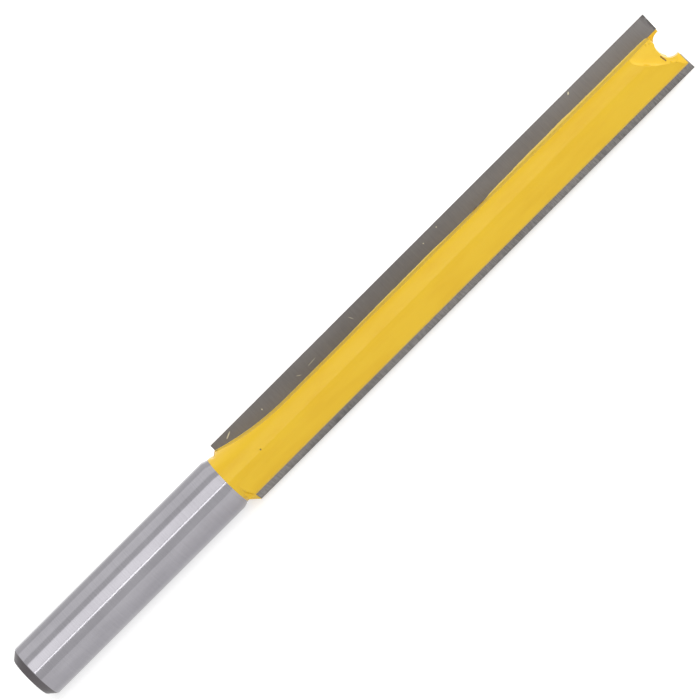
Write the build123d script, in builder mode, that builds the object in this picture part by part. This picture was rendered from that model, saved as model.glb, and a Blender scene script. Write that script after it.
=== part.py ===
from build123d import *
import math
import os

os.makedirs("parts", exist_ok=True)

# Long two-flute straight router bit, lying on a flat surface.
# The tool's axis runs along X, with the cutting tip towards +X and +Z up.
# The origin is the bottom centre of the bounding box. All lengths are in millimetres.

# ---- driving dimensions: shank and neck ----
shank_diameter = 12.7  # half-inch shank
shank_length = 56.9  # from the end face to the painted neck
shank_end_chamfer_length = 1.85
shank_end_chamfer_depth = 1.55
shank_neck_chamfer_length = 1.4
neck_length = 2.3  # painted stretch between the shank and the blades

# ---- driving dimensions: fluted body ----
body_diameter = 11.5  # turned steel of the neck and the lands, without its coat
web_thickness = 6.5  # steel left between the two flute floors
flute_wheel_radius = 63.0  # disc cutter that milled the flutes
flute_start = 0.3  # from the blades' shank end to where the flutes leave the lands
margin_width = 0.45  # ground strip of steel behind each blade
wing_ramp_length = 1.1  # slope at the shank end of the steel behind each blade

# ---- driving dimensions: blades ----
cutting_diameter = 15.1
blade_length = 123.8
blade_thickness = 2.4
hook_angle = 12.0
relief_angle = 25.0
blade_proud = 0.35  # how far the blades stand out of the steel at the tip
end_dish_angle = 1.5
end_relief_angle = 2.5

# ---- driving dimensions: filler and coat ----
braze_thickness = 0.12
coat_thickness = 0.1

# ---- driving dimensions: tip ----
notch_width = 5.8
notch_depth = 2.8
notch_corner_radius = 2.5
gash_start = 6.4  # where the gash leaves the middle of a land, back from the steel's end
gash_turn = 44.0  # its fall line, from the axis towards the facing blade
gash_wheel_radius = 3.0
gash_entry_slope = 55.0
gash_floor_slope = 14.0
gap_length = 2.3  # cleared in front of each blade's end, down to the clearance
gap_clearance = 0.3  # steel left above the blade's rake face
land_end_slope = 32.0  # the steel behind each blade falls away towards its end

# ---- driving dimensions: seat end ----
nick_length = 2.1  # cross nick in the body just before each blade
nick_depth = 0.5
nick_low_point = 0.95  # from the blade's end
low_filler_reach = 0.95  # filler that ran up the shank end of blade a
low_filler_height = 6.0
high_filler_reach = 1.6  # and of blade b
high_filler_height = 7.25

# ---- driving dimensions: pose ----
blade_roll = 58.8  # blade a's radial line from +Y towards +Z, as the tool lies

# ---- derived sizes ----
shank_radius = shank_diameter / 2
body_radius = body_diameter / 2
cutting_radius = cutting_diameter / 2
overall_length = shank_length + neck_length + blade_length
end_x = -overall_length / 2
neck_x = end_x + shank_length
blade_x = neck_x + neck_length
tip_x = end_x + overall_length
steel_tip_x = tip_x - blade_proud
axis_height = shank_radius
floor = web_thickness / 2
flute_depth = body_radius - floor
runout_x = blade_x + flute_start + math.sqrt(2 * flute_wheel_radius * flute_depth - flute_depth**2)
reach = 2 * cutting_diameter  # well past the tool on every side
straight_down = 270  # bearing of a wheel's lowest point
straight_back = 180  # and of its rearmost point
run_out_sweep = 40  # turn that takes the disc cutter's edge well clear of the steel

# Blade section, in coordinates along the blade's radial line and along its rake normal.
rake = -cutting_radius * math.sin(math.radians(hook_angle))
edge = cutting_radius * math.cos(math.radians(hook_angle))
seat_back = rake - blade_thickness - braze_thickness
relief_slope = math.radians(hook_angle + relief_angle)
relief_run = Vector(-math.sin(relief_slope), -math.cos(relief_slope))
relief_out = Vector(math.cos(relief_slope), -math.sin(relief_slope))

tool_axis = Axis((0, 0, axis_height), (1, 0, 0))
filler_reach = {"a": low_filler_reach, "b": high_filler_reach}
filler_height = {"a": low_filler_height, "b": high_filler_height}


def relief_point(across):
    """Point of the relief face at the given height along the rake normal."""
    return Vector(edge, rake) + relief_run * ((rake - across) / -relief_run.Y)


def cross_plane(wing, x):
    """Plane across the tool at x, whose own X axis is the wing's radial line."""
    angle = math.radians(blade_roll + (0 if wing == "a" else 180))
    radial = (0, math.cos(angle), math.sin(angle))
    return Plane(origin=(x, 0, axis_height), x_dir=radial, z_dir=(1, 0, 0))


def side_plane(wing, across):
    """Plane along the tool, square to the wing's rake normal and offset along it."""
    angle = math.radians(blade_roll + (0 if wing == "a" else 180))
    normal = (0, -math.sin(angle), math.cos(angle))
    return Plane(origin=(0, 0, axis_height), x_dir=(1, 0, 0), z_dir=normal).offset(across)


def wing_outline(skin):
    """Corners of the steel behind a blade, grown outwards by skin."""
    radius = body_radius + skin
    back = seat_back + (braze_thickness if skin else 0)
    grown = relief_out * skin
    corner = relief_point(back) + grown + relief_run * (grown.Y / -relief_run.Y)
    margin = relief_point(seat_back) + relief_run * margin_width + grown
    bearing = math.atan2(margin.Y, margin.X) - math.acos(radius / margin.length)
    tangent = Vector(radius * math.cos(bearing), radius * math.sin(bearing))
    inner = Vector(floor / 2, back)
    centre = Vector(0, -body_radius / 2)
    return [(p.X, p.Y) for p in (corner, margin, tangent, centre, inner)]


def head_form(skin):
    """Neck, wings and web between the flutes, grown outwards by skin."""
    radius = body_radius + skin
    face_x = steel_tip_x + skin
    with BuildPart() as form:
        across = side_plane("a", 0).z_dir
        with BuildSketch(Plane(origin=(neck_x, 0, axis_height), x_dir=across, z_dir=(1, 0, 0))):
            Circle(radius)
        extrude(amount=face_x - neck_x)
        for wing in ("a", "b"):
            # flute in front of the rake face, with the disc cutter's run-out
            deep = floor + skin
            wheel = flute_wheel_radius - skin
            with BuildSketch(side_plane(wing, rake)):
                with BuildLine():
                    run_out = CenterArc((runout_x, deep + wheel), wheel, straight_down, -run_out_sweep)
                    Line(run_out @ 1, (runout_x, reach + wheel))
                    Line((runout_x, reach + wheel), (tip_x + reach, reach + wheel))
                    Line((tip_x + reach, reach + wheel), (tip_x + reach, deep))
                    Line((tip_x + reach, deep), run_out @ 0)
                make_face()
            extrude(amount=reach, mode=Mode.SUBTRACT)
        for wing in ("a", "b"):
            with BuildSketch(cross_plane(wing, blade_x - wing_ramp_length - skin)):
                with BuildLine():
                    Polyline(*wing_outline(skin), close=True)
                make_face()
            extrude(amount=face_x - blade_x + wing_ramp_length + skin)
        # slope at the shank end of both wings
        with BuildSketch(Plane.XZ):
            with BuildLine():
                Polyline(
                    (blade_x - wing_ramp_length - skin, axis_height + radius),
                    (blade_x - skin, axis_height + radius + wing_ramp_length),
                    (blade_x - skin, axis_height + reach),
                    (blade_x - reach, axis_height + reach),
                    (blade_x - reach, axis_height + radius),
                    close=True,
                )
            make_face()
        revolve(axis=tool_axis, mode=Mode.SUBTRACT)
        for wing in ("a", "b"):
            # cross nick before the blade
            with BuildSketch(side_plane(wing, 0)):
                with BuildLine():
                    low = body_radius - nick_depth + skin
                    Polyline(
                        (blade_x - nick_length, radius),
                        (blade_x - nick_low_point, low),
                        (blade_x - skin, radius),
                        (blade_x - nick_length / 2, cutting_radius),
                        close=True,
                    )
                make_face()
            extrude(amount=body_radius, both=True, mode=Mode.SUBTRACT)
        # rounded notch across the tip
        with BuildSketch(side_plane("a", 0)):
            with Locations((steel_tip_x - notch_depth + skin, 0)):
                RectangleRounded(
                    reach,
                    notch_width - 2 * skin,
                    notch_corner_radius - skin,
                    align=(Align.MIN, Align.CENTER),
                )
        extrude(amount=reach, both=True, mode=Mode.SUBTRACT)
        for wing in ("a", "b"):
            add(gash_cutter(wing, skin), mode=Mode.SUBTRACT)
            add(gap_cutter(wing, skin), mode=Mode.SUBTRACT)
            add(land_end_cutter(wing, skin), mode=Mode.SUBTRACT)
            if skin:
                add(filler_ramp(wing, skin))
    return form.part


def gash_cutter(wing, skin):
    """Scoop in the end of the land facing the given blade, ground by a small wheel."""
    middle = side_plane(wing, body_radius).from_local_coords((steel_tip_x - gash_start, 0, 0))
    cross = cross_plane(wing, 0)
    turn = math.radians(gash_turn)
    fall = cross.z_dir * math.cos(turn) + cross.x_dir * math.sin(turn)
    entry = math.radians(gash_entry_slope)
    wheel_centre = (gash_wheel_radius * math.sin(entry), gash_wheel_radius * math.cos(entry))
    drop = math.tan(math.radians(gash_floor_slope))
    with BuildPart() as cutter:
        with BuildSketch(Plane(origin=middle, x_dir=fall, z_dir=fall.cross(cross.y_dir))):
            with BuildLine():
                wheel = gash_wheel_radius - skin
                scoop = CenterArc(wheel_centre, wheel, straight_back, 90 - gash_floor_slope)
                low = scoop @ 1
                Polyline(
                    low,
                    (reach, low.Y - drop * (reach - low.X)),
                    (reach, reach),
                    ((scoop @ 0).X, reach),
                    scoop @ 0,
                )
            make_face()
        extrude(amount=reach, both=True)
    return cutter.part


def gap_cutter(wing, skin):
    """Block that clears the steel in front of the given blade's end."""
    with BuildPart() as cutter:
        with BuildSketch(side_plane(wing, rake + gap_clearance + skin)):
            with Locations((steel_tip_x - gap_length + skin, 0)):
                Rectangle(reach, reach, align=(Align.MIN, Align.MIN))
        extrude(amount=reach)
    return cutter.part


def land_end_cutter(wing, skin):
    """Wedge that slopes the end of the steel behind a blade."""
    cross = cross_plane(wing, 0)
    slope = math.radians(land_end_slope)
    normal = cross.z_dir * math.sin(slope) - cross.y_dir * math.cos(slope)
    foot = cross_plane(wing, steel_tip_x).from_local_coords((0, seat_back, 0))
    with BuildPart() as cutter:
        with BuildSketch(side_plane(wing, seat_back)):
            with Locations((steel_tip_x, 0)):
                Rectangle(2 * reach, reach, align=(Align.CENTER, Align.MIN))
        extrude(amount=-reach)
        split(bisect_by=Plane(origin=foot, z_dir=normal).offset(skin), keep=Keep.TOP)
    return cutter.part


def filler_ramp(wing, skin):
    """Fillet of filler against the shank end of a blade, grown outwards by skin."""
    low = body_radius - nick_depth
    foot = blade_x - filler_reach[wing] - skin
    with BuildPart() as ramp:
        with BuildSketch(side_plane(wing, seat_back - skin)):
            with BuildLine():
                Polyline(
                    (foot, floor),
                    (foot, low + skin),
                    (blade_x, filler_height[wing] + skin),
                    (blade_x, floor),
                    close=True,
                )
            make_face()
        extrude(amount=rake - seat_back + 2 * skin)
        cross = cross_plane(wing, blade_x)
        flank = cross.from_local_coords((edge + skin * relief_out.X, rake + skin * relief_out.Y, 0))
        outward = cross.x_dir * relief_out.X + cross.y_dir * relief_out.Y
        split(bisect_by=Plane(origin=flank, z_dir=outward), keep=Keep.BOTTOM)
    return ramp.part


# ---- one-piece steel body: shank, neck, lands and web ----
shank_end_radius = shank_radius - shank_end_chamfer_depth
with BuildPart() as cutter_body:
    with BuildSketch(Plane.XZ):
        with BuildLine():
            Polyline(
                (end_x, axis_height),
                (end_x, axis_height + shank_end_radius),
                (end_x + shank_end_chamfer_length, axis_height + shank_radius),
                (neck_x - shank_neck_chamfer_length, axis_height + shank_radius),
                (neck_x, axis_height + body_radius + coat_thickness),
                (neck_x, axis_height),
                close=True,
            )
        make_face()
    revolve(axis=tool_axis)
    add(head_form(0))
    for wing in ("a", "b"):
        with BuildSketch(cross_plane(wing, blade_x - braze_thickness)):
            with Locations((floor, seat_back)):
                Rectangle(reach, rake - seat_back, align=(Align.MIN, Align.MIN))
        extrude(amount=reach + blade_length, mode=Mode.SUBTRACT)
cutter_body.part.label = "cutter_body"
export_step(cutter_body.part, "parts/cutter_body.step")

# ---- brazed blades and the filler that holds them ----
blades = {}
seams = {}
bond = floor + braze_thickness
bond_back = seat_back + braze_thickness
for wing in ("a", "b"):
    corner = cross_plane(wing, tip_x).from_local_coords((edge, rake, 0))
    cross = cross_plane(wing, 0)
    end_normal = (
        cross.z_dir
        - cross.x_dir * math.tan(math.radians(end_dish_angle))
        - cross.y_dir * math.tan(math.radians(end_relief_angle))
    )
    heel = relief_point(bond_back)
    with BuildPart() as blade:
        with BuildSketch(cross_plane(wing, blade_x)):
            with BuildLine():
                Polyline((bond, bond_back), (bond, rake), (edge, rake), (heel.X, heel.Y), close=True)
            make_face()
        extrude(amount=blade_length)
        split(bisect_by=Plane(origin=corner, z_dir=end_normal), keep=Keep.BOTTOM)
    blade.part.label = "carbide_blade_" + wing
    export_step(blade.part, "parts/carbide_blade_" + wing + ".step")
    blades[wing] = blade.part

    seam_top = relief_point(seat_back)
    with BuildPart() as seam:
        with BuildSketch(cross_plane(wing, blade_x)):
            with BuildLine():
                Polyline(
                    (floor, seat_back),
                    (floor, rake),
                    (bond, rake),
                    (bond, bond_back),
                    (heel.X, heel.Y),
                    (seam_top.X, seam_top.Y),
                    close=True,
                )
            make_face()
        extrude(amount=steel_tip_x - blade_x)
        add(filler_ramp(wing, 0))
        add(cutter_body.part, mode=Mode.SUBTRACT)
    seam.part.label = "braze_seam_" + wing
    export_step(seam.part, "parts/braze_seam_" + wing + ".step")
    seams[wing] = seam.part

# ---- coat over the neck, the lands, the flutes and the tip ----
with BuildPart() as yellow_coat:
    add(head_form(coat_thickness))
    add(cutter_body.part, mode=Mode.SUBTRACT)
    for wing in ("a", "b"):
        add(blades[wing], mode=Mode.SUBTRACT)
        add(seams[wing], mode=Mode.SUBTRACT)
yellow_coat.part.label = "yellow_coat"
export_step(yellow_coat.part, "parts/yellow_coat.step")
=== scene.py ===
"""Visual model of a long two-flute straight router bit with a painted fluted body.

The tool's lengths are in millimetres, those of the studio and the camera in metres. Meshes
are in metres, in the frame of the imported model: the tool's axis along X, the tip towards +X,
+Z up. A blade's own frame is the line along the tool, the radial line to its cutting edge
(reach) and the normal of its rake face (rise).
"""

from __future__ import annotations

import logging
import math
from dataclasses import dataclass
from enum import Enum
from typing import Any, Sequence

import bmesh
import bpy
from mathutils import Matrix, Vector, noise

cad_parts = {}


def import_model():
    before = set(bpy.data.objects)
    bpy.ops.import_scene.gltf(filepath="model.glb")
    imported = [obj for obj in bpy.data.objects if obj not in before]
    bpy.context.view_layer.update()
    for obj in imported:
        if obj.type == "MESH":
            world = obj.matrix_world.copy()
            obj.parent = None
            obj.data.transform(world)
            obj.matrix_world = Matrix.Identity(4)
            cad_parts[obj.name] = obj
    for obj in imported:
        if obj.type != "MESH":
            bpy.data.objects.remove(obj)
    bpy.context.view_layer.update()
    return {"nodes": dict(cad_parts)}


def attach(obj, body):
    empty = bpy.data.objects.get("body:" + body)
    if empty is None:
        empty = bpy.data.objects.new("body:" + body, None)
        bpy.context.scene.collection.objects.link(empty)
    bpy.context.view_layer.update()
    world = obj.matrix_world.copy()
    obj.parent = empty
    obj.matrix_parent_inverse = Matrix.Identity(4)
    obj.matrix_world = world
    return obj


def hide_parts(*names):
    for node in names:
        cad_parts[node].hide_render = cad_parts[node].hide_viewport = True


LOG = logging.getLogger("router_bit")
MM = 0.001
Colour = tuple[float, float, float, float]
Pair = tuple[float, float]
Triple = tuple[float, float, float]


class Wing(Enum):
    """The two blades, half a turn apart."""

    A = "a"
    B = "b"

    @property
    def half_turns(self) -> int:
        """Half turns from the first blade to this one."""
        return 0 if self is Wing.A else 1

    @property
    def blade_node(self) -> str:
        """Name of this blade's node."""
        return "carbide_blade_" + self.value

    @property
    def seam_node(self) -> str:
        """Name of the node of the filler that holds this blade."""
        return "braze_seam_" + self.value


class Slot(Enum):
    """Material slots of the record, by name; the pieces here don't take them."""

    STEEL = "ground_steel"
    PAINT = "yellow_paint"
    CARBIDE = "carbide"


def linear(red: int, green: int, blue: int) -> Colour:
    """Turn an 8-bit display colour into scene-linear values.

    Args:
        red: red level, 0 to 255.
        green: green level, 0 to 255.
        blue: blue level, 0 to 255.

    Returns:
        The colour as linear red, green, blue and an alpha of 1.
    """
    levels = []
    for level in (red, green, blue):
        share = level / 255
        levels.append(share / 12.92 if share <= 0.04045 else ((share + 0.055) / 1.055) ** 2.4)
    return (levels[0], levels[1], levels[2], 1.0)


@dataclass(frozen=True)
class ToolFrame:
    """Where the tool lies and how its blades are turned."""

    axis_height: float = 6.35
    roll_deg: float = 58.8

    def radial(self, wing: Wing) -> Vector:
        """Direction from the axis to a blade's cutting edge."""
        angle = math.radians(self.roll_deg + 180 * wing.half_turns)
        return Vector((0.0, math.cos(angle), math.sin(angle)))

    def normal(self, wing: Wing) -> Vector:
        """Direction that a blade's rake face looks in."""
        angle = math.radians(self.roll_deg + 180 * wing.half_turns)
        return Vector((0.0, -math.sin(angle), math.cos(angle)))

    def matrix(self, wing: Wing) -> Matrix:
        """Place a mesh drawn in a blade's own millimetres.

        Args:
            wing: the blade whose frame the mesh was drawn in, along the tool, along the
                radial line and along the rake normal.

        Returns:
            The matrix to the model's frame in metres.
        """
        turned = Matrix((Vector((1, 0, 0)), self.radial(wing), self.normal(wing))).transposed()
        lifted = Matrix.Translation(Vector((0, 0, self.axis_height * MM)))
        return lifted @ (turned * MM).to_4x4()


@dataclass(frozen=True)
class BladeSection:
    """Cross-section of a brazed blade and of the body around it."""

    cutting_radius: float = 7.55
    hook_deg: float = 12.0
    relief_deg: float = 25.0
    thickness: float = 2.4
    braze: float = 0.12
    floor: float = 3.25
    coat: float = 0.1

    @property
    def rake(self) -> float:
        """Height of the rake face along the rake normal."""
        return -self.cutting_radius * math.sin(math.radians(self.hook_deg))

    @property
    def edge(self) -> float:
        """Reach of the cutting edge along the radial line."""
        return self.cutting_radius * math.cos(math.radians(self.hook_deg))

    @property
    def bond(self) -> float:
        """Reach of the blade's inner side."""
        return self.floor + self.braze

    @property
    def back(self) -> float:
        """Height of the blade's underside."""
        return self.rake - self.thickness

    def relief_reach(self, across: float) -> float:
        """Reach of the relief face at a height along the rake normal."""
        slope = math.tan(math.radians(self.hook_deg + self.relief_deg))
        return self.edge - (self.rake - across) * slope


class Value:
    """A node socket that stands in Python arithmetic."""

    def __init__(self, nodes: Nodes, socket: bpy.types.NodeSocket) -> None:
        """Keep the socket and the tree it belongs to."""
        self.nodes = nodes
        self.socket = socket

    def __add__(self, other: Value | float) -> Value:
        """Sum."""
        return self.nodes.maths("ADD", self, other)

    def __radd__(self, other: float) -> Value:
        """Sum with a number on the left."""
        return self.nodes.maths("ADD", other, self)

    def __sub__(self, other: Value | float) -> Value:
        """Difference."""
        return self.nodes.maths("SUBTRACT", self, other)

    def __rsub__(self, other: float) -> Value:
        """Difference from a number on the left."""
        return self.nodes.maths("SUBTRACT", other, self)

    def __mul__(self, other: Value | float) -> Value:
        """Product."""
        return self.nodes.maths("MULTIPLY", self, other)

    def __rmul__(self, other: float) -> Value:
        """Product with a number on the left."""
        return self.nodes.maths("MULTIPLY", other, self)

    def __truediv__(self, other: Value | float) -> Value:
        """Quotient."""
        return self.nodes.maths("DIVIDE", self, other)

    def __rtruediv__(self, other: float) -> Value:
        """Quotient of a number on the left."""
        return self.nodes.maths("DIVIDE", other, self)

    def __gt__(self, other: Value | float) -> Value:
        """One where this is greater, else zero."""
        return self.nodes.maths("GREATER_THAN", self, other)

    def __lt__(self, other: Value | float) -> Value:
        """One where this is less, else zero."""
        return self.nodes.maths("LESS_THAN", self, other)

    def ramp(self, low: float, high: float) -> Value:
        """Share of the way from one value to another.

        Args:
            low: the value that gives 0.
            high: the value that gives 1.

        Returns:
            The share, kept between 0 and 1.
        """
        node = self.nodes.node(
            "ShaderNodeMapRange",
            {"clamp": True},
            {"Value": self, "From Min": low, "From Max": high},
        )
        return self.nodes.value(node, "Result")


class Nodes:
    """A node tree, filled by one method that makes any node."""

    def __init__(self, tree: bpy.types.NodeTree) -> None:
        """Keep the tree."""
        self.tree = tree

    @staticmethod
    def _socket(sockets: Any, key: str | int) -> bpy.types.NodeSocket:
        """Find a socket by its place, identifier or name.

        Args:
            sockets: a node's inputs or outputs.
            key: the place, identifier or name.

        Returns:
            The socket.
        """
        if isinstance(key, int):
            return sockets[key]
        for socket in sockets:
            if socket.identifier == key:
                return socket
        return sockets[key]

    def node(
        self,
        kind: str,
        settings: dict[str, Any] | None = None,
        inputs: dict[Any, Any] | None = None,
    ) -> bpy.types.Node:
        """Make a node.

        Args:
            kind: the node's type.
            settings: properties that are set first; "points" are a curve's places and heights.
            inputs: numbers, vectors or linked values, by the input's place, identifier or name.

        Returns:
            The node.
        """
        made = self.tree.nodes.new(kind)
        for name, setting in (settings or {}).items():
            if name == "points":
                line = made.mapping.curves[0]
                while len(line.points) < len(setting):
                    line.points.new(0.5, 0.5)
                for point, spot in zip(line.points, setting):
                    point.location = spot
                made.mapping.update()
            else:
                setattr(made, name, setting)
        for key, given in (inputs or {}).items():
            socket = self._socket(made.inputs, key)
            if isinstance(given, Value):
                self.tree.links.new(given.socket, socket)
            else:
                socket.default_value = given
        return made

    def value(self, node: bpy.types.Node, key: str | int = 0) -> Value:
        """Wrap one of a node's outputs."""
        return Value(self, self._socket(node.outputs, key))

    def combined(self, x: Any = 0.0, y: Any = 0.0, z: Any = 0.0) -> Value:
        """Vector of three numbers or values."""
        return self.value(self.node("ShaderNodeCombineXYZ", {}, {"X": x, "Y": y, "Z": z}))

    def noise_at(self, spot: Value, scale: float, detail: float, rough: float = 0.5) -> Value:
        """Noise at a place.

        Args:
            spot: the place.
            scale: cycles in a length of one.
            detail: octaves of the noise.
            rough: weight of the finer octaves.

        Returns:
            The noise, about 0.5 in the middle.
        """
        inputs = {"Vector": spot, "Scale": scale, "Detail": detail, "Roughness": rough}
        made = self.node("ShaderNodeTexNoise", {"noise_dimensions": "3D"}, inputs)
        return self.value(made, "Fac")

    def maths(self, operation: str, *terms: Value | float) -> Value:
        """Make a Math node.

        Args:
            operation: the node's operation.
            terms: its inputs in order.

        Returns:
            The result.
        """
        inputs = dict(enumerate(terms))
        return self.value(self.node("ShaderNodeMath", {"operation": operation}, inputs))

    def vector(self, operation: str, *terms: Any, output: str = "Vector", **named: Any) -> Value:
        """Make a Vector Math node.

        Args:
            operation: the node's operation.
            terms: its first inputs in order.
            output: the output wanted.
            named: inputs by name.

        Returns:
            The result.
        """
        inputs: dict[Any, Any] = dict(enumerate(terms))
        inputs.update(named)
        node = self.node("ShaderNodeVectorMath", {"operation": operation}, inputs)
        return self.value(node, output)

    def mixed(self, share: Value | float, first: Any, second: Any) -> Value:
        """Blend two colours.

        Args:
            share: how much of the second colour shows.
            first: the first colour.
            second: the second colour.

        Returns:
            The blended colour.
        """
        node = self.node(
            "ShaderNodeMix",
            {"data_type": "RGBA"},
            {"Factor_Float": share, "A_Color": first, "B_Color": second},
        )
        return self.value(node, "Result_Color")


class Surface(Nodes):
    """Material of a finish, with the coordinates that its patterns use."""

    def __init__(self, name: str, frame: ToolFrame) -> None:
        """Start a material.

        Args:
            name: the material's name.
            frame: where the tool lies.
        """
        self.material = bpy.data.materials.new(name)
        self.material.use_nodes = True
        super().__init__(self.material.node_tree)
        self.tree.nodes.clear()
        self.output = self.node("ShaderNodeOutputMaterial")
        at = self.value(self.node("ShaderNodeTexCoord"), "Object")
        centred = self.vector("SUBTRACT", at, (0.0, 0.0, frame.axis_height * MM))
        self.place = self.vector("SCALE", centred, Scale=1 / MM)
        self.along = self.vector("DOT_PRODUCT", self.place, (1, 0, 0), output="Value")
        self.reach, self.rise = (
            self.vector("DOT_PRODUCT", self.place, tuple(line), output="Value")
            for line in (frame.radial(Wing.A), frame.normal(Wing.A))
        )

    def noise(self, pitch: Triple, detail: float = 2.0, rough: float = 0.5) -> Value:
        """Noise with its own pitch along, out from and across the blades.

        Args:
            pitch: cycles per millimetre along the tool, along the radial line and along
                the rake normal.
            detail: octaves of the noise.
            rough: weight of the finer octaves.

        Returns:
            The noise, about 0.5 in the middle.
        """
        spot = self.combined(self.along * pitch[0], self.reach * pitch[1], self.rise * pitch[2])
        return self.noise_at(spot, 1.0, detail, rough)

    def spots(self, pitch: float, radius: float, share: float) -> Value:
        """Sparse round spots.

        Args:
            pitch: cell size in millimetres.
            radius: spot radius as a share of a cell.
            share: share of the cells that have a spot.

        Returns:
            One on the spots, else zero.
        """
        made = self.node(
            "ShaderNodeTexVoronoi",
            {"feature": "F1"},
            {"Vector": self.place, "Scale": 1 / pitch},
        )
        cell = self.node("ShaderNodeSeparateColor", {}, {"Color": self.value(made, "Color")})
        return (self.value(made, "Distance") < radius) * (self.value(cell) > 1 - share)

    def bump(self, height: Value, depth: float, over: Value | None = None) -> Value:
        """Raise the surface by a pattern.

        Args:
            height: the pattern.
            depth: what a height of one means, in millimetres.
            over: a normal that this one builds on.

        Returns:
            The normal.
        """
        inputs: dict[str, Any] = {"Height": height, "Distance": depth * MM, "Strength": 1.0}
        if over is not None:
            inputs["Normal"] = over
        return self.value(self.node("ShaderNodeBump", {}, inputs), "Normal")

    def rounded(self, radius: float, samples: int) -> Value:
        """Soften the edges.

        Args:
            radius: the edges' radius in millimetres.
            samples: rays that find the edges.

        Returns:
            The normal.
        """
        return self.value(
            self.node("ShaderNodeBevel", {"samples": samples}, {"Radius": radius * MM})
        )

    def eased(self, share: Value | float) -> Value:
        """Normal that turns towards the straight way out from the axis.

        Args:
            share: how far it turns.

        Returns:
            The normal.
        """
        out = self.vector("NORMALIZE", self.vector("MULTIPLY", self.place, (0, 1, 1)))
        own = self.value(self.node("ShaderNodeNewGeometry"), "Normal")
        node = self.node(
            "ShaderNodeMix",
            {"data_type": "VECTOR"},
            {"Factor_Float": share, "A_Vector": own, "B_Vector": out},
        )
        return self.vector("NORMALIZE", self.value(node, "Result_Vector"))

    def finish(self, inputs: dict[str, Any]) -> bpy.types.Material:
        """Close the material with its shader.

        Args:
            inputs: the shader's numbers and links.

        Returns:
            The material.
        """
        shader = self.node("ShaderNodeBsdfPrincipled", {}, inputs)
        self.tree.links.new(self.value(shader, "BSDF").socket, self.output.inputs["Surface"])
        return self.material


@dataclass(frozen=True)
class GroundSteelFinish:
    """Bright steel, ground round and round."""

    light: Colour = linear(161, 159, 164)
    dull: Colour = linear(147, 145, 150)
    # darker and rougher on the end chamfer and the end face
    turned: Colour = linear(92, 88, 90)
    dark_end_edge: Pair = (-89.76, -89.68)
    dark_end_roughness: float = 0.28
    neck_edge: Pair = (-36.3, -35.9)
    neck_ease: float = 0.85
    roughness: float = 0.1
    mark_pitch: Triple = (9.0, 0.12, 0.12)
    mark_span: Pair = (0.3, 0.7)
    mark_grit: float = 0.65
    mark_roughness: float = 0.06
    mark_depth: float = 0.0012
    mark_weight: float = 0.5
    cloud_pitch: Triple = (0.09, 0.3, 0.3)
    cloud_span: Pair = (0.35, 0.65)
    cloud_weight: float = 0.5
    octaves: float = 3.0

    def material(self, frame: ToolFrame) -> bpy.types.Material:
        """Build the steel's material.

        Args:
            frame: where the tool lies.

        Returns:
            The material.
        """
        steel = Surface("ground_steel", frame)
        rings = steel.noise(self.mark_pitch, self.octaves, self.mark_grit)
        clouds = steel.noise(self.cloud_pitch, self.octaves).ramp(*self.cloud_span)
        marks = rings.ramp(*self.mark_span)
        tone = marks * self.mark_weight + clouds * self.cloud_weight
        # one on the end chamfer and the end face, which are darker and rougher
        coarse = 1 - steel.along.ramp(*self.dark_end_edge)
        outward = steel.eased(steel.along.ramp(*self.neck_edge) * self.neck_ease)
        ground = steel.mixed(tone, self.dull, self.light)
        rough = self.roughness + marks * self.mark_roughness + coarse * self.dark_end_roughness
        return steel.finish(
            {
                "Base Color": steel.mixed(coarse, ground, self.turned),
                "Metallic": 1.0,
                "Roughness": rough,
                "Normal": steel.bump(rings, self.mark_depth, outward),
            }
        )


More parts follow.
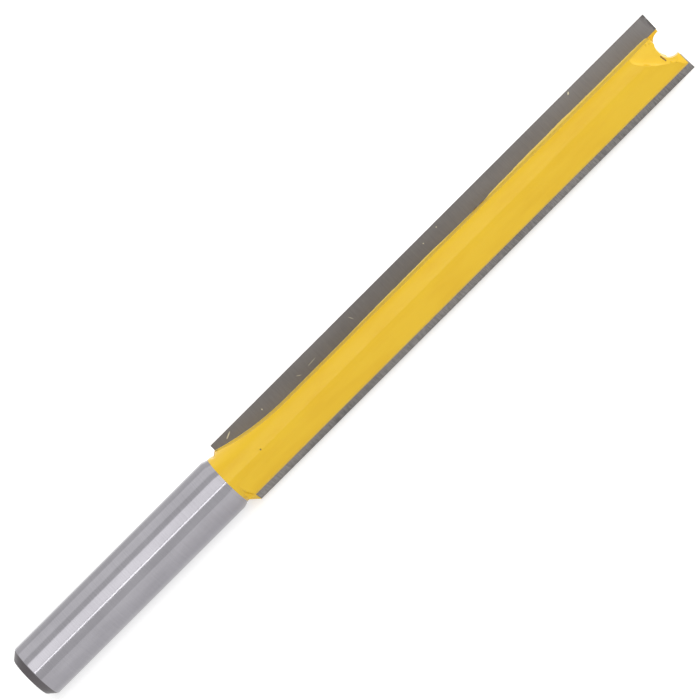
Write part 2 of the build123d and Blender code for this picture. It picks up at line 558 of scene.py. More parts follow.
@dataclass(frozen=True)
class CarbideFinish:
    """Dull grey carbide with grind marks across the blade, and painted light that lightens the rake
    face towards both ends.
    """

    rake_light: Colour = linear(121, 118, 117)
    rake_dark: Colour = linear(94, 91, 90)
    relief_light: Colour = linear(144, 141, 139)
    relief_dark: Colour = linear(88, 85, 83)
    # darker blotches on the rake face at the tip
    tip_dark: Colour = linear(58, 54, 52)
    tip_dark_edge: Pair = (90.2, 91.4)
    tip_dark_pitch: Triple = (1.1, 0.9, 0.9)
    tip_dark_span: Pair = (0.38, 0.56)
    tip_dark_share: float = 0.7
    rake_edge: Pair = (1.6, 1.63)
    metallic: float = 0.75
    roughness: float = 0.42
    roughness_swing: float = 0.12
    mark_pitch: Triple = (6.5, 0.35, 0.35)
    mark_grit: float = 0.6
    mark_depth: float = 0.006
    rake_span: Pair = (0.34, 0.66)
    rake_mark_weight: float = 0.35
    rake_cloud_weight: float = 0.2
    relief_span: Pair = (0.36, 0.62)
    relief_mark_weight: float = 0.7
    relief_cloud_weight: float = 0.3
    rough_span: Pair = (0.3, 0.7)
    cloud_pitch: Triple = (0.05, 0.25, 0.25)
    cloud_span: Pair = (0.35, 0.65)
    # painted light: the rake face turns lighter towards the tip and towards the shank end, standing
    # in for how the lamps fall along the blade
    tip_reach: Pair = (20.0, 92.0)
    tip_painted_light: float = 0.55
    heel_reach: Pair = (-34.0, 0.0)
    heel_painted_light: float = 0.25
    octaves: float = 3.0

    def material(self, frame: ToolFrame) -> bpy.types.Material:
        """Build the carbide's material.

        Args:
            frame: where the tool lies.

        Returns:
            The material.
        """
        carbide = Surface("carbide", frame)
        marks = carbide.noise(self.mark_pitch, self.octaves, self.mark_grit)
        clouds = carbide.noise(self.cloud_pitch).ramp(*self.cloud_span)
        at_tip = carbide.along.ramp(*self.tip_reach)
        at_heel = 1 - carbide.along.ramp(*self.heel_reach)
        # painted light: lighter rake face towards both ends of the blade
        painted_light_ramp = at_tip * self.tip_painted_light + at_heel * self.heel_painted_light
        fine = marks.ramp(*self.rake_span) * self.rake_mark_weight
        tone = fine + clouds * self.rake_cloud_weight + painted_light_ramp
        coarse = marks.ramp(*self.relief_span) * self.relief_mark_weight
        stripes = coarse + clouds * self.relief_cloud_weight
        # darker blotches on the rake face at the tip
        blotches = carbide.noise(self.tip_dark_pitch, self.octaves).ramp(*self.tip_dark_span)
        tip_darkened = carbide.along.ramp(*self.tip_dark_edge) * blotches * self.tip_dark_share
        ground = carbide.mixed(tone, self.rake_dark, self.rake_light)
        rake = carbide.mixed(tip_darkened, ground, self.tip_dark)
        relief = carbide.mixed(stripes, self.relief_dark, self.relief_light)
        on_relief = carbide.maths("ABSOLUTE", carbide.rise).ramp(*self.rake_edge)
        swing = marks.ramp(*self.rough_span) - 0.5
        return carbide.finish(
            {
                "Base Color": carbide.mixed(on_relief, rake, relief),
                "Metallic": self.metallic,
                "Roughness": self.roughness + swing * self.roughness_swing,
                "Normal": carbide.bump(marks, self.mark_depth),
            }
        )


@dataclass(frozen=True)
class PaintFinish:
    """Thick yellow paint, a little wavy, under a thin gloss."""

    body: Colour = linear(235, 192, 32)
    warm: Colour = linear(230, 184, 24)
    dirt: Colour = linear(92, 62, 26)
    dirt_share: float = 0.8
    roughness: float = 0.38
    roughness_swing: float = 0.08
    rough_span: Pair = (0.3, 0.7)
    gloss: float = 0.18
    gloss_roughness: float = 0.12
    specular: float = 0.35
    wave_pitch: Triple = (0.16, 0.42, 0.42)
    wave_grit: float = 0.45
    wave_depth: float = 0.04
    peel_pitch: Triple = (2.2, 2.6, 2.6)
    peel_depth: float = 0.004
    patch_pitch: Triple = (0.07, 0.35, 0.35)
    patch_span: Pair = (0.42, 0.72)
    patch_octaves: float = 3.0
    speck_pitch: float = 3.2
    speck_radius: float = 0.035
    speck_share: float = 0.12
    edge_radius: float = 0.16
    edge_samples: int = 6

    def material(self, frame: ToolFrame, softened: bool) -> bpy.types.Material:
        """Build the paint's material.

        Args:
            frame: where the tool lies.
            softened: whether the paint rounds the edges that it lies over.

        Returns:
            The material.
        """
        paint = Surface("yellow_paint" if softened else "yellow_paint_raised", frame)
        waves = paint.noise(self.wave_pitch, rough=self.wave_grit)
        peel = paint.noise(self.peel_pitch)
        patches = paint.noise(self.patch_pitch, self.patch_octaves)
        specks = paint.spots(self.speck_pitch, self.speck_radius, self.speck_share)
        tone = paint.mixed(patches.ramp(*self.patch_span), self.body, self.warm)
        soft = paint.rounded(self.edge_radius, self.edge_samples) if softened else None
        wavy = paint.bump(waves, self.wave_depth, soft)
        swing = patches.ramp(*self.rough_span) - 0.5
        return paint.finish(
            {
                "Base Color": paint.mixed(specks * self.dirt_share, tone, self.dirt),
                "Roughness": self.roughness + swing * self.roughness_swing,
                "Normal": paint.bump(peel, self.peel_depth, wavy),
                "Specular IOR Level": self.specular,
                "Coat Weight": self.gloss,
                "Coat Roughness": self.gloss_roughness,
            }
        )


@dataclass(frozen=True)
class MarkFinish:
    """Bright marks on the carbide, or dark pits in the paint."""

    name: str
    colour: Colour
    roughness: float = 0.5
    shade: float = 0.8
    grain_pitch: Triple = (6.0, 6.0, 6.0)
    grain_span: Pair = (0.35, 0.65)

    def material(self, frame: ToolFrame) -> bpy.types.Material:
        """Build the mark's material.

        Args:
            frame: where the tool lies.

        Returns:
            The material.
        """
        mark = Surface(self.name, frame)
        grain = mark.noise(self.grain_pitch).ramp(*self.grain_span)
        darker = tuple(self.shade * level for level in self.colour[:3]) + (1.0,)
        return mark.finish(
            {
                "Base Color": mark.mixed(grain, darker, self.colour),
                "Roughness": self.roughness,
            }
        )


@dataclass(frozen=True)
class BrazeFinish:
    """Dull brassy filler."""

    colour: Colour = linear(196, 158, 84)
    shade: Colour = linear(150, 112, 60)
    metallic: float = 0.8
    roughness: float = 0.45
    grain_pitch: Triple = (1.5, 2.5, 2.5)
    grain_span: Pair = (0.35, 0.65)
    grain_depth: float = 0.03
    octaves: float = 4.0

    def material(self, frame: ToolFrame) -> bpy.types.Material:
        """Build the filler's material.

        Args:
            frame: where the tool lies.

        Returns:
            The material.
        """
        braze = Surface("braze", frame)
        grain = braze.noise(self.grain_pitch, self.octaves)
        return braze.finish(
            {
                "Base Color": braze.mixed(grain.ramp(*self.grain_span), self.shade, self.colour),
                "Metallic": self.metallic,
                "Roughness": self.roughness,
                "Normal": braze.bump(grain, self.grain_depth),
            }
        )


def make_object(name: str, mesh: bpy.types.Mesh) -> bpy.types.Object:
    """Put a mesh in the scene as an object at the origin.

    Args:
        name: the object's name.
        mesh: the mesh.

    Returns:
        The object.
    """
    made = bpy.data.objects.new(name, mesh)
    bpy.context.scene.collection.objects.link(made)
    return made


def shade_smooth(mesh: bpy.types.Mesh, sharp_deg: float) -> None:
    """Shade a mesh smooth, apart from edges sharper than an angle.

    Args:
        mesh: the mesh.
        sharp_deg: the angle in degrees.
    """
    mesh.polygons.foreach_set("use_smooth", [True] * len(mesh.polygons))
    mesh.set_sharp_from_angle(angle=math.radians(sharp_deg))
    mesh.update()


def tube_mesh(name: str, rings: Sequence[Sequence[Vector]], placed: Matrix) -> bpy.types.Mesh:
    """Skin closed rings of equal count and cap both ends.

    Args:
        name: the mesh's name.
        rings: the rings, each a list of points in order.
        placed: matrix to the model's frame.

    Returns:
        A closed mesh whose faces look outwards.
    """
    form = bmesh.new()
    rows = [[form.verts.new(placed @ point) for point in ring] for ring in rings]
    count = len(rows[0])
    for low, high in zip(rows, rows[1:]):
        for i in range(count):
            j = (i + 1) % count
            form.faces.new((low[i], low[j], high[j], high[i]))
    form.faces.new(rows[0])
    form.faces.new(list(reversed(rows[-1])))
    bmesh.ops.recalc_face_normals(form, faces=form.faces)
    mesh = bpy.data.meshes.new(name)
    form.to_mesh(mesh)
    form.free()
    return mesh


@dataclass
class ShankAndCore:
    """Turned steel: the bright shank, and the fluted core under the paint."""

    frame: ToolFrame
    radius: float = 6.35
    end_x: float = -91.5
    neck_x: float = -34.6
    end_chamfer_length: float = 1.85
    end_chamfer_depth: float = 1.55
    neck_chamfer_length: float = 1.4
    neck_radius: float = 5.85
    edge_break: float = 0.12
    core_cut: float = 0.1
    core_overlap: float = 1.2
    weld: float = 1e-7
    sharp_deg: float = 22.0
    segments: int = 192

    def profile(self) -> list[Pair]:
        """Half-section of the shank, whose corners are rounded by shares of the edge break.

        Returns:
            Places along the axis and radii, from the end face to the neck.
        """
        soft = self.edge_break
        face_radius = self.radius - self.end_chamfer_depth
        slope = Vector((self.end_chamfer_length, self.end_chamfer_depth)).normalized()
        top_x = self.end_x + self.end_chamfer_length
        start = self.neck_x - self.neck_chamfer_length
        fall = Vector((self.neck_chamfer_length, self.neck_radius - self.radius)).normalized()
        return [
            (self.end_x, face_radius - 2 * soft),
            (self.end_x, face_radius - soft),
            (self.end_x + 0.4 * soft * slope.x, face_radius + 0.1 * soft),
            (self.end_x + 1.2 * soft * slope.x, face_radius + 1.2 * soft * slope.y),
            (top_x - 2.5 * soft * slope.x, self.radius - 2.5 * soft * slope.y),
            (top_x - soft * slope.x, self.radius - soft * slope.y),
            (top_x + 0.2 * soft, self.radius - 0.2 * soft),
            (top_x + 1.5 * soft, self.radius),
            (start - 1.5 * soft, self.radius),
            (start, self.radius - 0.12 * soft),
            (start + 1.5 * soft * fall.x, self.radius + 1.5 * soft * fall.y),
            (self.neck_x, self.neck_radius),
            (self.neck_x, self.neck_radius - 2 * soft),
        ]

    def turned(self) -> bpy.types.Mesh:
        """Turn the half-section round the axis.

        Returns:
            The shank's closed mesh.
        """
        lift = Vector((0, 0, self.frame.axis_height))
        rings = []
        for x, radius in self.profile():
            ring = []
            for i in range(self.segments):
                angle = 2 * math.pi * i / self.segments
                ring.append(Vector((x, radius * math.cos(angle), radius * math.sin(angle))) + lift)
            rings.append(ring)
        return tube_mesh("shank", rings, Matrix.Scale(MM, 4))

    def core(self, node: bpy.types.Object) -> bpy.types.Mesh:
        """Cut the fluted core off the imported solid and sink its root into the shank.

        Args:
            node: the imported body.

        Returns:
            The core's closed mesh.
        """
        form = bmesh.new()
        form.from_mesh(node.data)
        bmesh.ops.remove_doubles(form, verts=form.verts, dist=self.weld)
        cut = (self.neck_x + self.core_cut) * MM
        bmesh.ops.bisect_plane(
            form,
            geom=[*form.verts, *form.edges, *form.faces],
            dist=self.weld / 10,
            plane_co=(cut, 0, 0),
            plane_no=(1, 0, 0),
            clear_inner=True,
        )
        rim = [edge for edge in form.edges if edge.is_boundary]
        pulled = bmesh.ops.extrude_edge_only(form, edges=rim)["geom"]
        moved = [item for item in pulled if isinstance(item, bmesh.types.BMVert)]
        bmesh.ops.translate(form, verts=moved, vec=(-self.core_overlap * MM, 0, 0))
        bmesh.ops.contextual_create(form, geom=[edge for edge in form.edges if edge.is_boundary])
        bmesh.ops.recalc_face_normals(form, faces=form.faces)
        mesh = bpy.data.meshes.new("core")
        form.to_mesh(mesh)
        form.free()
        return mesh

    def build(self, node: bpy.types.Object, finish: bpy.types.Material) -> bpy.types.Object:
        """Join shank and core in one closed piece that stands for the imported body.

        Args:
            node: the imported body.
            finish: the steel's material.

        Returns:
            The piece.
        """
        shank = make_object("shank_turning", self.turned())
        core = make_object("core_turning", self.core(node))
        joined = shank.modifiers.new("join", "BOOLEAN")
        joined.operation = "UNION"
        joined.solver = "EXACT"
        joined.object = core
        evaluated = shank.evaluated_get(bpy.context.evaluated_depsgraph_get())
        mesh = bpy.data.meshes.new_from_object(evaluated)
        bpy.data.objects.remove(shank)
        bpy.data.objects.remove(core)
        mesh.materials.clear()
        mesh.materials.append(finish)
        shade_smooth(mesh, self.sharp_deg)
        piece = make_object("turned_body", mesh)
        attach(piece, "root")
        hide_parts("cutter_body")
        return piece


@dataclass
class CarbideBlade:
    """Long brazed blade with a ground rake face and a worn cutting edge.

    Fine and coarse chips are given by their cycles per millimetre and their weight.
    """

    frame: ToolFrame
    section: BladeSection
    wing: Wing
    start_x: float = -32.3
    tip_x: float = 91.5
    dish_deg: float = 1.5
    end_relief_deg: float = 2.5
    ring_pitch: float = 0.3
    rake_columns: int = 8
    relief_columns: int = 5
    sharp_deg: float = 25.0
    chip_depth: float = 0.05
    chip_share: float = 0.32
    chip_gain: float = 2.6
    fine_chips: Pair = (2.6, 0.7)
    coarse_chips: Pair = (0.45, 0.6)
    chip_rows: Pair = (0.4, 7.1)
    chip_seed: float = 17.3
    chip_seed_step: float = 31.7
    beside_edge: float = 0.55
    down_share: float = 0.35

    def outline(self) -> list[Triple]:
        """Points round the blade's section.

        Returns:
            Reach, rise and how much of an edge chip each point takes.
        """
        part = self.section
        heel = part.relief_reach(part.back)
        points = [(part.bond, part.back, 0.0), (part.bond, part.rake, 0.0)]
        for i in range(1, self.rake_columns):
            share = 1 - (1 - i / self.rake_columns) ** 2
            reach = part.bond + (part.edge - part.bond) * share
            beside = i == self.rake_columns - 1
            points.append((reach, part.rake, self.beside_edge if beside else 0.0))
        points.append((part.edge, part.rake, 1.0))
        for i in range(1, self.relief_columns):
            share = (i / self.relief_columns) ** 2
            rise = part.rake - part.thickness * share
            points.append((part.relief_reach(rise), rise, self.beside_edge if i == 1 else 0.0))
        points.append((heel, part.back, 0.0))
        return points

    def end_x(self, reach: float, rise: float) -> float:
        """Find where the end face stands.

        Args:
            reach: reach of a point of the section.
            rise: rise of the point.

        Returns:
            The place along the tool.
        """
        part = self.section
        inward = math.tan(math.radians(self.dish_deg)) * (reach - part.edge)
        under = math.tan(math.radians(self.end_relief_deg)) * (rise - part.rake)
        return self.tip_x + inward + under

    def chip(self, x: float) -> float:
        """Depth that is chipped off the cutting edge.

        Args:
            x: the place along the edge.

        Returns:
            The depth, mostly zero.
        """
        seed = self.chip_seed + self.chip_seed_step * self.wing.half_turns
        rough = self.chip_gain * self.chip_share - 1
        for (pitch, weight), row in zip((self.fine_chips, self.coarse_chips), self.chip_rows):
            rough += weight * noise.noise(Vector((x * pitch, seed, row)))
        return self.chip_depth * max(0.0, rough)

    def build(self, finish: bpy.types.Material) -> bpy.types.Object:
        """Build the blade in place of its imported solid.

        Args:
            finish: the carbide's material.

        Returns:
            The piece.
        """
        outline = self.outline()
        count = round((self.tip_x - self.start_x) / self.ring_pitch)
        rings = []
        for k in range(count + 1):
            ring = []
            for reach, rise, worn in outline:
                x = self.start_x + (self.end_x(reach, rise) - self.start_x) * k / count
                lost = self.chip(x) * worn if 0 < k < count else 0.0
                ring.append(Vector((x, reach - lost, rise - self.down_share * lost)))
            rings.append(ring)
        mesh = tube_mesh(self.wing.blade_node + "_bar", rings, self.frame.matrix(self.wing))
        mesh.materials.append(finish)
        shade_smooth(mesh, self.sharp_deg)
        piece = make_object("ground_blade_" + self.wing.value, mesh)
        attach(piece, "root")
        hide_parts(self.wing.blade_node)
        return piece


class GeometryTree(Nodes):
    """Geometry Nodes tree with named inputs."""

    def __init__(self, name: str, inputs: dict[str, float]) -> None:
        """Start a tree.

        Args:
            name: the tree's name.
            inputs: names and default values of its number inputs.
        """
        group = bpy.data.node_groups.new(name, "GeometryNodeTree")
        super().__init__(group)
        group.interface.new_socket("Geometry", in_out="OUTPUT", socket_type="NodeSocketGeometry")
        self.keys: dict[str, str] = {}
        for label, default in inputs.items():
            socket = group.interface.new_socket(
                label, in_out="INPUT", socket_type="NodeSocketFloat"
            )
            socket.default_value = default
            self.keys[label] = socket.identifier
        self.entry = self.node("NodeGroupInput")
        self.exit = self.node("NodeGroupOutput")

    def given(self, label: str) -> Value:
        """One of the tree's inputs."""
        return self.value(self.entry, label)

    def step(self, kind: str, settings: dict[str, Any] | None = None, **inputs: Any) -> Value:
        """Make a node whose inputs are named with underlines for spaces.

        Args:
            kind: the node's type.
            settings: properties that are set first.
            inputs: numbers, vectors or linked values.

        Returns:
            The node's first output.
        """
        named = {label.replace("_", " "): given for label, given in inputs.items()}
        return self.value(self.node(kind, settings, named))

    def close(self, geometry: Value, finish: bpy.types.Material) -> None:
        """End the tree in realized instances that have their material.

        Args:
            geometry: what the tree made.
            finish: its material.
        """
        real = self.step("GeometryNodeRealizeInstances", Geometry=geometry)
        dressed = self.step("GeometryNodeSetMaterial", Geometry=real, Material=finish)
        self.tree.links.new(dressed.socket, self.exit.inputs[0])

    def run(self, name: str, sizes: dict[str, float], placed: Matrix) -> bpy.types.Object:
        """Run the tree and keep its result as a plain mesh.

        Args:
            name: the new piece's name.
            sizes: values of the tree's inputs.
            placed: matrix to the model's frame.

        Returns:
            The piece, at the origin.
        """
        holder = make_object(name + "_holder", bpy.data.meshes.new(name + "_holder"))
        modifier = holder.modifiers.new("nodes", "NODES")
        modifier.node_group = self.tree
        for label, size in sizes.items():
            modifier[self.keys[label]] = float(size)
        holder.update_tag()
        bpy.context.view_layer.update()
        evaluated = holder.evaluated_get(bpy.context.evaluated_depsgraph_get())
        mesh = bpy.data.meshes.new_from_object(evaluated)
        holder.modifiers.remove(modifier)
        bpy.data.objects.remove(holder)
        mesh.transform(placed)
        mesh.name = name
        return make_object(name, mesh)


@dataclass
class PaintBeads:
    """Paint that built up in the corners where it meets the blades.

    A waver is given by its cycles per millimetre, its octaves and its swing. The cover is how
    much of the lip there is at each share of its length.
    """

    frame: ToolFrame
    section: BladeSection
    runout_x: float = -14.43
    wheel_radius: float = 62.9
    start_x: float = -32.3
    lip_end_x: float = 88.7
    lip_up: float = 0.56
    lip_out: float = 0.8
    lip_hollow: float = 0.3
    lip_swell: float = 0.35
    rim_end_x: float = 90.9
    rim_width: float = 0.13
    rim_hollow: float = 0.55
    rim_swell: float = 0.7
    root: float = 0.05
    least: float = 0.06
    ring_pitch: float = 0.25
    slow_waver: Triple = (0.13, 1.0, 2.0)
    quick_waver: Triple = (0.9, 2.0, 1.4)
    seed: float = 3.0
    seed_step: float = 9.0
    sharp_deg: float = 60.0
    cover: tuple[Pair, ...] = (
        (0.0, 0.2),
        (0.23, 0.2),
        (0.28, 0.24),
        (0.34, 0.46),
        (0.47, 0.58),
        (0.53, 0.36),
        (0.585, 0.14),
        (0.607, 0.03),
        (0.63, 0.5),
        (0.68, 0.76),
        (0.74, 0.88),
        (0.87, 0.82),
        (0.97, 0.68),
        (1.0, 0.2),
    )

    @staticmethod
    def corner(bead: GeometryTree, first: Value | float, second: Value | float) -> Value:
        """Place a corner of the bead's section.

        Args:
            bead: the tree.
            first: share of the first leg.
            second: share of the second leg.

        Returns:
            The corner, turned as a profile lies on a line along the tool.
        """
        reach = first * bead.given("First Leg Reach") + second * bead.given("Second Leg Reach")
        rise = first * bead.given("First Leg Rise") + second * bead.given("Second Leg Rise")
        return bead.combined(0 - reach, 0 - rise)

    def lip(self) -> dict[str, float]:
        """Size the lip in the corner of flute floor and rake face.

        Returns:
            Values of the tree's inputs.
        """
        part = self.section
        return {
            "Start": self.start_x,
            "End": self.lip_end_x,
            "Reach": part.floor + part.coat,
            "Rise": part.rake,
            "Wheel": self.wheel_radius,
            "Run-out": self.runout_x,
            "First Leg Reach": self.lip_up,
            "First Leg Rise": 0.0,
            "Second Leg Reach": 0.0,
            "Second Leg Rise": self.lip_out,
            "Hollow": self.lip_hollow,
            "Root": self.root,
            "Cover Share": 1.0,
            "Swell": self.lip_swell,
        }

    def rim(self) -> dict[str, float]:
        """Size the rim where the paint ends on the relief face.

        Returns:
            Values of the tree's inputs.
        """
        part = self.section
        slope = math.radians(part.hook_deg + part.relief_deg)
        return {
            "Start": self.start_x,
            "End": self.rim_end_x,
            "Reach": part.relief_reach(part.back),
            "Rise": part.back,
            "Wheel": self.wheel_radius,
            "Run-out": self.start_x,
            "First Leg Reach": self.rim_width * math.sin(slope),
            "First Leg Rise": self.rim_width * math.cos(slope),
            "Second Leg Reach": part.coat * math.cos(slope),
            "Second Leg Rise": -part.coat * math.sin(slope),
            "Hollow": self.rim_hollow,
            "Root": self.root,
            "Cover Share": 0.0,
            "Swell": self.rim_swell,
        }

    def thickness(self, bead: GeometryTree, at: Value) -> Value:
        """How thick the bead is at a place along the tool.

        Args:
            bead: the tree.
            at: the place along the tool.

        Returns:
            The scale of the bead's section.
        """
        spot = bead.combined(at, bead.given("Seed"))
        slow_pitch, slow_octaves, slow_swing = self.slow_waver
        quick_pitch, quick_octaves, quick_swing = self.quick_waver
        slow = (bead.noise_at(spot, slow_pitch, slow_octaves) - 0.5) * slow_swing
        quick = (bead.noise_at(spot, quick_pitch, quick_octaves) - 0.5) * quick_swing
        share = (at - bead.given("Start")) / (bead.given("End") - bead.given("Start"))
        laid = bead.step("ShaderNodeFloatCurve", {"points": self.cover}, Value=share)
        covered = 1 + bead.given("Cover Share") * (laid - 1)
        waver = 1 + bead.given("Swell") * (slow + quick)
        return bead.maths("MAXIMUM", covered * waver, self.least)

    def tree(self, finish: bpy.types.Material) -> GeometryTree:
        """Build the tree that lays a wavering bead along a blade.

        Args:
            finish: the paint's material.

        Returns:
            The tree.
        """
        bead = GeometryTree("paint_bead", {**self.lip(), "Seed": 0.0})
        start, end = (
            bead.combined(bead.given(label), bead.given("Reach"), bead.given("Rise"))
            for label in ("Start", "End")
        )
        line = bead.step("GeometryNodeCurvePrimitiveLine", Start=start, End=end)
        steps = bead.step(
            "GeometryNodeResampleCurve", {"mode": "LENGTH"}, Curve=line, Length=self.ring_pitch
        )
        place = bead.step("GeometryNodeInputPosition")
        at = bead.step("ShaderNodeSeparateXYZ", Vector=place)
        # the flute's floor climbs to the land on the disc cutter's arc
        back = bead.maths("MAXIMUM", bead.given("Run-out") - at, 0.0)
        wheel = bead.given("Wheel")
        climb = wheel - bead.maths("SQRT", wheel * wheel - back * back)
        lifted = bead.step(
            "GeometryNodeSetPosition", Geometry=steps, Offset=bead.combined(0.0, climb)
        )
        root = 0 - bead.given("Root")
        hollow = bead.given("Hollow")
        corners = ((root, root), (1.0, root), (hollow, hollow), (root, 1.0))
        section = bead.step(
            "GeometryNodeCurvePrimitiveQuadrilateral",
            {"mode": "POINTS"},
            **{f"Point_{i + 1}": self.corner(bead, *pair) for i, pair in enumerate(corners)},
        )
        skin = bead.step(
            "GeometryNodeCurveToMesh",
            Curve=lifted,
            Profile_Curve=section,
            Scale=self.thickness(bead, at),
            Fill_Caps=True,
        )
        smooth = bead.step("GeometryNodeSetShadeSmooth", Geometry=skin, Shade_Smooth=True)
        bead.close(smooth, finish)
        return bead

    def build(self, finish: bpy.types.Material) -> list[bpy.types.Object]:
        """Lay the beads of both blades.

        Args:
            finish: the paint's material.

        Returns:
            The pieces.
        """
        tree = self.tree(finish)
        pieces = []
        for wing in Wing:
            for name, sizes in (("paint_lip_", self.lip()), ("paint_rim_", self.rim())):
                sizes["Seed"] = self.seed + self.seed_step * wing.half_turns
                piece = tree.run(name + wing.value, sizes, self.frame.matrix(wing))
                shade_smooth(piece.data, self.sharp_deg)
                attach(piece, "root")
                pieces.append(piece)
        return pieces


@dataclass(frozen=True)
class Fleck:
    """A speck, a mark or a drip of paint that lies on the tool, in the first blade's frame."""

    along: float
    reach: float
    rise: float
    length: float
    width: float
    turn_deg: float = 0.0
    lean_deg: float = 0.0
    pitch_deg: float = 0.0
    height: float = 0.02

    def sizes(self) -> dict[str, float]:
        """Size the speck.

        Returns:
            Values of the tree's inputs.
        """
        return {
            "Along": self.along,
            "Reach": self.reach,
            "Rise": self.rise,
            "Length": self.length,
            "Width": self.width,
            "Height": self.height,
            "Lean": math.radians(self.lean_deg),
            "Pitch": math.radians(self.pitch_deg),
            "Turn": math.radians(self.turn_deg),
        }


@dataclass
class Flecks:
    """Bright marks, pits and drips, each a flattened bead of its own size."""

    frame: ToolFrame
    section: BladeSection
    ball_radius: float = 0.5
    fineness: int = 3
    sharp_deg: float = 80.0

    def bright(self) -> tuple[Fleck, ...]:
        """List the scratches and specks on the first blade's rake face.

        Returns:
            The specks.
        """
        rake = self.section.rake
        return (
            Fleck(-28.2, 6.3, rake, 1.7, 0.2, 24),
            Fleck(-19.6, 5.2, rake, 0.26, 0.24),
            Fleck(27.4, 5.9, rake, 0.22, 0.22),
            Fleck(31.6, 6.4, rake, 0.26, 0.22, 20),
            Fleck(69.6, 6.7, rake, 0.7, 0.28, 40),
            Fleck(-9.5, 4.8, rake, 1.1, 0.06, -35),
            Fleck(-5.7, 4.9, rake, 2.2, 0.05, 3),
            Fleck(6.3, 5.6, rake, 1.2, 0.06, -62),
        )

    def dark(self) -> tuple[Fleck, ...]:
        """List the pits along the lip, a speck near the neck and a slit in the tip's gash.

        Returns:
            The specks.
        """
        rake = self.section.rake
        return (
            Fleck(-4.7, 3.52, rake, 0.8, 0.2, 4),
            Fleck(-6.4, 3.5, rake, 0.3, 0.22, 0),
            Fleck(-3.4, 3.55, rake, 0.25, 0.3, 80),
            Fleck(39.6, 3.5, rake, 1.6, 0.12, 3),
            Fleck(41.6, 3.45, rake, 1.2, 0.16, -5),
            Fleck(-24.97, 0.27, 5.83, 0.4, 0.36, lean_deg=-4),
            Fleck(88.15, -0.8, 4.62, 0.36, 0.5, 20, -10, 10, 0.04),
            Fleck(88.27, -1.39, 4.72, 0.3, 1.3, 8, -13, 13, 0.08),
            Fleck(88.35, -1.9, 4.83, 0.34, 0.55, -15, -21, 21, 0.04),
        )

    @staticmethod
    def drips() -> tuple[Fleck, ...]:
        """List the drops of paint in and beside the tip's gash.

        Returns:
            The specks.
        """
        return (
            Fleck(85.05, 0.05, 5.6, 1.5, 0.4, -47, height=0.3),
            Fleck(89.1, -3.05, 4.95, 0.7, 0.4, -47, -23, 22, 0.22),
            Fleck(89.8, -3.75, 4.95, 0.6, 0.4, -47, -23, 22, 0.22),
            Fleck(88.45, 2.7, 3.93, 0.8, 0.45, 20, -10, 10, 0.22),
            Fleck(87.7, 2.95, 4.05, 0.6, 0.35, 40, -10, 10, 0.2),
        )

    def tree(self, finish: bpy.types.Material) -> GeometryTree:
        """Build the tree that makes one flattened speck.

        Args:
            finish: the speck's material.

        Returns:
            The tree.
        """
        groups = "Along Reach Rise", "Length Width Height", "Lean Pitch Turn"
        labels = [group.split() for group in groups]
        fleck = GeometryTree("fleck", {label: 0.0 for three in labels for label in three})
        place, size, turn = (
            fleck.combined(*(fleck.given(label) for label in three)) for three in labels
        )
        ball = fleck.step(
            "GeometryNodeMeshIcoSphere", Radius=self.ball_radius, Subdivisions=self.fineness
        )
        point = fleck.step("GeometryNodePoints", Count=1)
        put = fleck.step("GeometryNodeSetPosition", Geometry=point, Position=place)
        laid = fleck.step(
            "GeometryNodeInstanceOnPoints", Points=put, Instance=ball, Rotation=turn, Scale=size
        )
        fleck.close(laid, finish)
        return fleck

    def lay(
        self, name: str, flecks: Sequence[Fleck], finish: bpy.types.Material
    ) -> bpy.types.Object:
        """Lay a set of specks and join them in one piece.

        Args:
            name: the piece's name.
            flecks: the specks.
            finish: their material.

        Returns:
            The piece.
        """
        tree = self.tree(finish)
        form = bmesh.new()
        for fleck in flecks:
            single = tree.run(name + "_single", fleck.sizes(), self.frame.matrix(Wing.A))
            form.from_mesh(single.data)
            bpy.data.objects.remove(single)
        mesh = bpy.data.meshes.new(name)
        form.to_mesh(mesh)
        form.free()
        mesh.materials.append(finish)
        shade_smooth(mesh, self.sharp_deg)
        piece = make_object(name, mesh)
        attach(piece, "root")
        return piece

    def build(
        self, bright: bpy.types.Material, dark: bpy.types.Material, wet: bpy.types.Material
    ) -> list[bpy.types.Object]:
        """Lay all the marks.

        Args:
            bright: material of the scratches and specks.
            dark: material of the pits.
            wet: material of the drips.

        Returns:
            The pieces.
        """
        return [
            self.lay("bright_marks", self.bright(), bright),
            self.lay("dark_pits", self.dark(), dark),
            self.lay("paint_drips", self.drips(), wet),
        ]


class RayKind(Enum):
    """Rays that see the plain white background."""

    CAMERA = "Is Camera Ray"
    GLOSSY = "Is Glossy Ray"
    TRANSMISSION = "Is Transmission Ray"


def background_share(nodes: Nodes) -> Value:
    """Tell which rays see the plain background.

    Args:
        nodes: the tree that asks.

    Returns:
        One for those rays, else zero.
    """
    path = nodes.node("ShaderNodeLightPath")
    kinds = [nodes.value(path, kind.value) for kind in RayKind]
    return nodes.maths("MINIMUM", kinds[0] + kinds[1] + kinds[2], 1.0)


@dataclass(frozen=True)
class Softbox:
    """A rectangular studio lamp aimed at the tool, which the steel mirrors if it is mirrored."""

    name: str
    bearing_deg: float
    height_deg: float
    distance: float
    width: float
    depth: float
    radiance: float
    mirrored: bool = True

    def build(self) -> bpy.types.Object:
        """Make the lamp.

        Returns:
            The lamp's object.
        """
        lamp = bpy.data.lights.new(self.name, "AREA")
        lamp.shape = "RECTANGLE"
        lamp.size = self.width
        lamp.size_y = self.depth
        lamp.energy = self.radiance * math.pi * self.width * self.depth
        made = bpy.data.objects.new(self.name, lamp)
        bpy.context.scene.collection.objects.link(made)
        turn, rise = math.radians(self.bearing_deg), math.radians(self.height_deg)
        away = Vector(
            (math.sin(turn) * math.cos(rise), -math.cos(turn) * math.cos(rise), math.sin(rise))
        )
        sideways = Vector((0, 0, 1)).cross(away).normalized()
        made.location = away * self.distance
        made.rotation_euler = Matrix((sideways, away.cross(sideways), away)).transposed().to_euler()
        made.visible_camera = False
        made.visible_glossy = self.mirrored
        return made


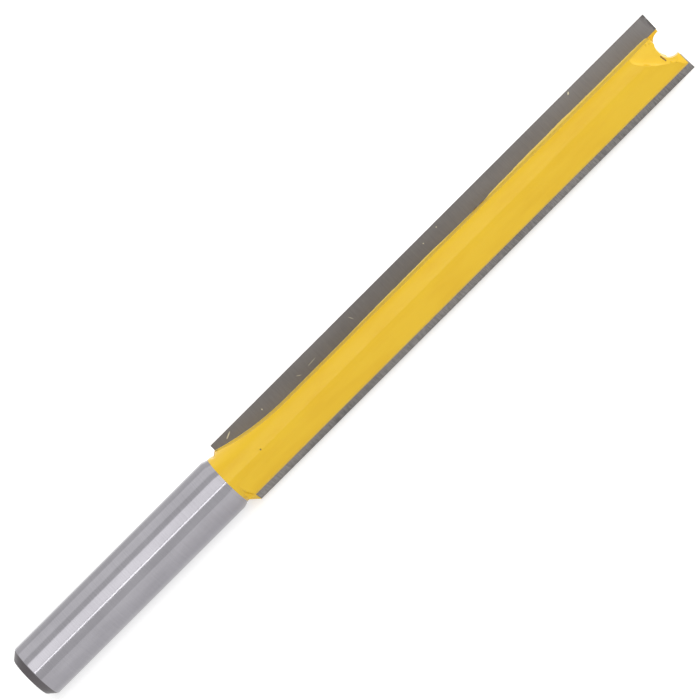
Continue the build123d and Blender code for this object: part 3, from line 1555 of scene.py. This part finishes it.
@dataclass
class Studio:
    """Plain white room: floor, sky and softboxes."""

    floor_size: float = 8.0
    sky_strength: float = 0.4
    floor_tone: float = 0.93
    floor_body: float = 0.6
    floor_lift: float = 0.65
    boxes: tuple[Softbox, ...] = (
        Softbox("band_box", 0, 58.5, 1.6, 2.6, 1.07, 0.95),
        Softbox("line_box", 0, 35.8, 1.75, 2.6, 0.1, 3.6),
        Softbox("back_box", 180, 60, 1.8, 2.4, 1.3, 0.35),
        Softbox("tip_box", 90, 22, 1.8, 1.1, 1.1, 4.6),
        Softbox("front_fill", 0, 8, 1.8, 2.6, 0.4, 0.8, mirrored=False),
        Softbox("back_fill", 180, 30, 1.8, 2.6, 1.2, 1.45, mirrored=False),
    )

    def sky(self) -> None:
        """Make the world: white to the eye and in reflections, softer as light."""
        world = bpy.data.worlds.new("studio_sky")
        bpy.context.scene.world = world
        world.use_nodes = True
        nodes = Nodes(world.node_tree)
        nodes.tree.nodes.clear()
        strength = self.sky_strength + background_share(nodes) * (1 - self.sky_strength)
        white = (1, 1, 1, 1)
        ground = nodes.node("ShaderNodeBackground", {}, {"Color": white, "Strength": strength})
        nodes.node("ShaderNodeOutputWorld", {}, {"Surface": nodes.value(ground)})

    def floor(self) -> bpy.types.Object:
        """Make the floor, white to the eye apart from the tool's soft shadow.

        Returns:
            The floor.
        """
        half = self.floor_size / 2
        mesh = bpy.data.meshes.new("studio_floor")
        mesh.from_pydata(
            [(-half, -half, 0), (half, -half, 0), (half, half, 0), (-half, half, 0)],
            [],
            [(0, 1, 2, 3)],
        )
        plane = make_object("studio_floor", mesh)
        material = bpy.data.materials.new("studio_floor")
        material.use_nodes = True
        nodes = Nodes(material.node_tree)
        nodes.tree.nodes.clear()
        plain, seen = (
            nodes.node("ShaderNodeBsdfDiffuse", {}, {"Color": (tone, tone, tone, 1)})
            for tone in (self.floor_tone, self.floor_body)
        )
        lift = nodes.node("ShaderNodeEmission", {}, {"Strength": self.floor_lift})
        pale = nodes.node("ShaderNodeAddShader", {}, {0: nodes.value(seen), 1: nodes.value(lift)})
        either = nodes.node(
            "ShaderNodeMixShader",
            {},
            {0: background_share(nodes), 1: nodes.value(plain), 2: nodes.value(pale)},
        )
        nodes.node("ShaderNodeOutputMaterial", {}, {"Surface": nodes.value(either)})
        mesh.materials.append(material)
        return plane

    def build(self) -> None:
        """Make the sky, the floor and the lamps."""
        self.sky()
        self.floor()
        for box in self.boxes:
            box.build()
        bpy.context.scene.view_settings.view_transform = "Standard"


@dataclass
class ViewPoint:
    """Camera that looks down on the lying tool along its upper flute."""

    aim: Triple = (0.00025, 0.0, 0.00635)
    above: Triple = (0.0, -0.807, 0.5906)
    across: Triple = (0.0, 0.5906, 0.807)
    slide: float = 0.12
    distance: float = 1.65
    sensor: float = 36.0
    pixels_per_metre: float = 4937.0
    picture_pixels: int = 700
    shift_x: float = 0.001
    shift_y: float = 0.01314
    far: float = 20.0

    def build(self) -> bpy.types.Object:
        """Make the camera and give it to the scene.

        Returns:
            The camera.
        """
        aim = Vector(self.aim)
        place = Vector((self.slide, 0, aim.z)) + Vector(self.above) * self.distance
        away = (place - aim).length
        look = (place - aim).normalized()
        upwards = (Vector((1, 0, 0)) + Vector(self.across)).normalized()
        right = upwards.cross(look).normalized()
        up = look.cross(right).normalized()
        data = bpy.data.cameras.new("eye")
        data.sensor_width = self.sensor
        data.lens = self.sensor * away * self.pixels_per_metre / self.picture_pixels
        data.clip_end = self.far
        data.shift_x = self.shift_x
        data.shift_y = self.shift_y
        camera = bpy.data.objects.new("eye", data)
        bpy.context.scene.collection.objects.link(camera)
        camera.location = place
        camera.rotation_euler = Matrix((right, up, look)).transposed().to_euler()
        bpy.context.scene.camera = camera
        return camera


def dress(node: bpy.types.Object, finish: bpy.types.Material) -> bpy.types.Object:
    """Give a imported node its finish.

    Args:
        node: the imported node.
        finish: its material.

    Returns:
        The node.
    """
    node.data.materials.clear()
    node.data.materials.append(finish)
    return node


def main() -> None:
    """Build the router bit, its studio and its camera."""
    logging.basicConfig(level=logging.INFO, format="%(name)s: %(message)s")
    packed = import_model()
    frame = ToolFrame()
    section = BladeSection()
    steel = GroundSteelFinish().material(frame)
    carbide = CarbideFinish().material(frame)
    paint = PaintFinish().material(frame, softened=True)
    # the beads' paler paint is a painted highlight along the lips, beside their real gloss
    pale = PaintFinish(
        body=linear(244, 211, 92), warm=linear(242, 207, 80), roughness=0.25, gloss=0.6
    )
    raised = pale.material(frame, softened=False)
    braze = BrazeFinish().material(frame)
    bright = MarkFinish("bright_mark", linear(232, 228, 205)).material(frame)
    dark = MarkFinish("dark_pit", linear(118, 76, 26)).material(frame)
    wet = PaintFinish(roughness=0.12).material(frame, softened=False)

    pieces = [ShankAndCore(frame).build(packed["nodes"]["cutter_body"], steel)]
    for wing in Wing:
        pieces.append(CarbideBlade(frame, section, wing).build(carbide))
        pieces.append(dress(packed["nodes"][wing.seam_node], braze))
    pieces.append(dress(packed["nodes"]["yellow_coat"], paint))
    pieces += PaintBeads(frame, section).build(raised)
    pieces += Flecks(frame, section).build(bright, dark, wet)
    for piece in pieces:
        LOG.info("%s: %d faces", piece.name, len(piece.data.polygons))

    Studio().build()
    ViewPoint().build()


if __name__ == "__main__":
    main()
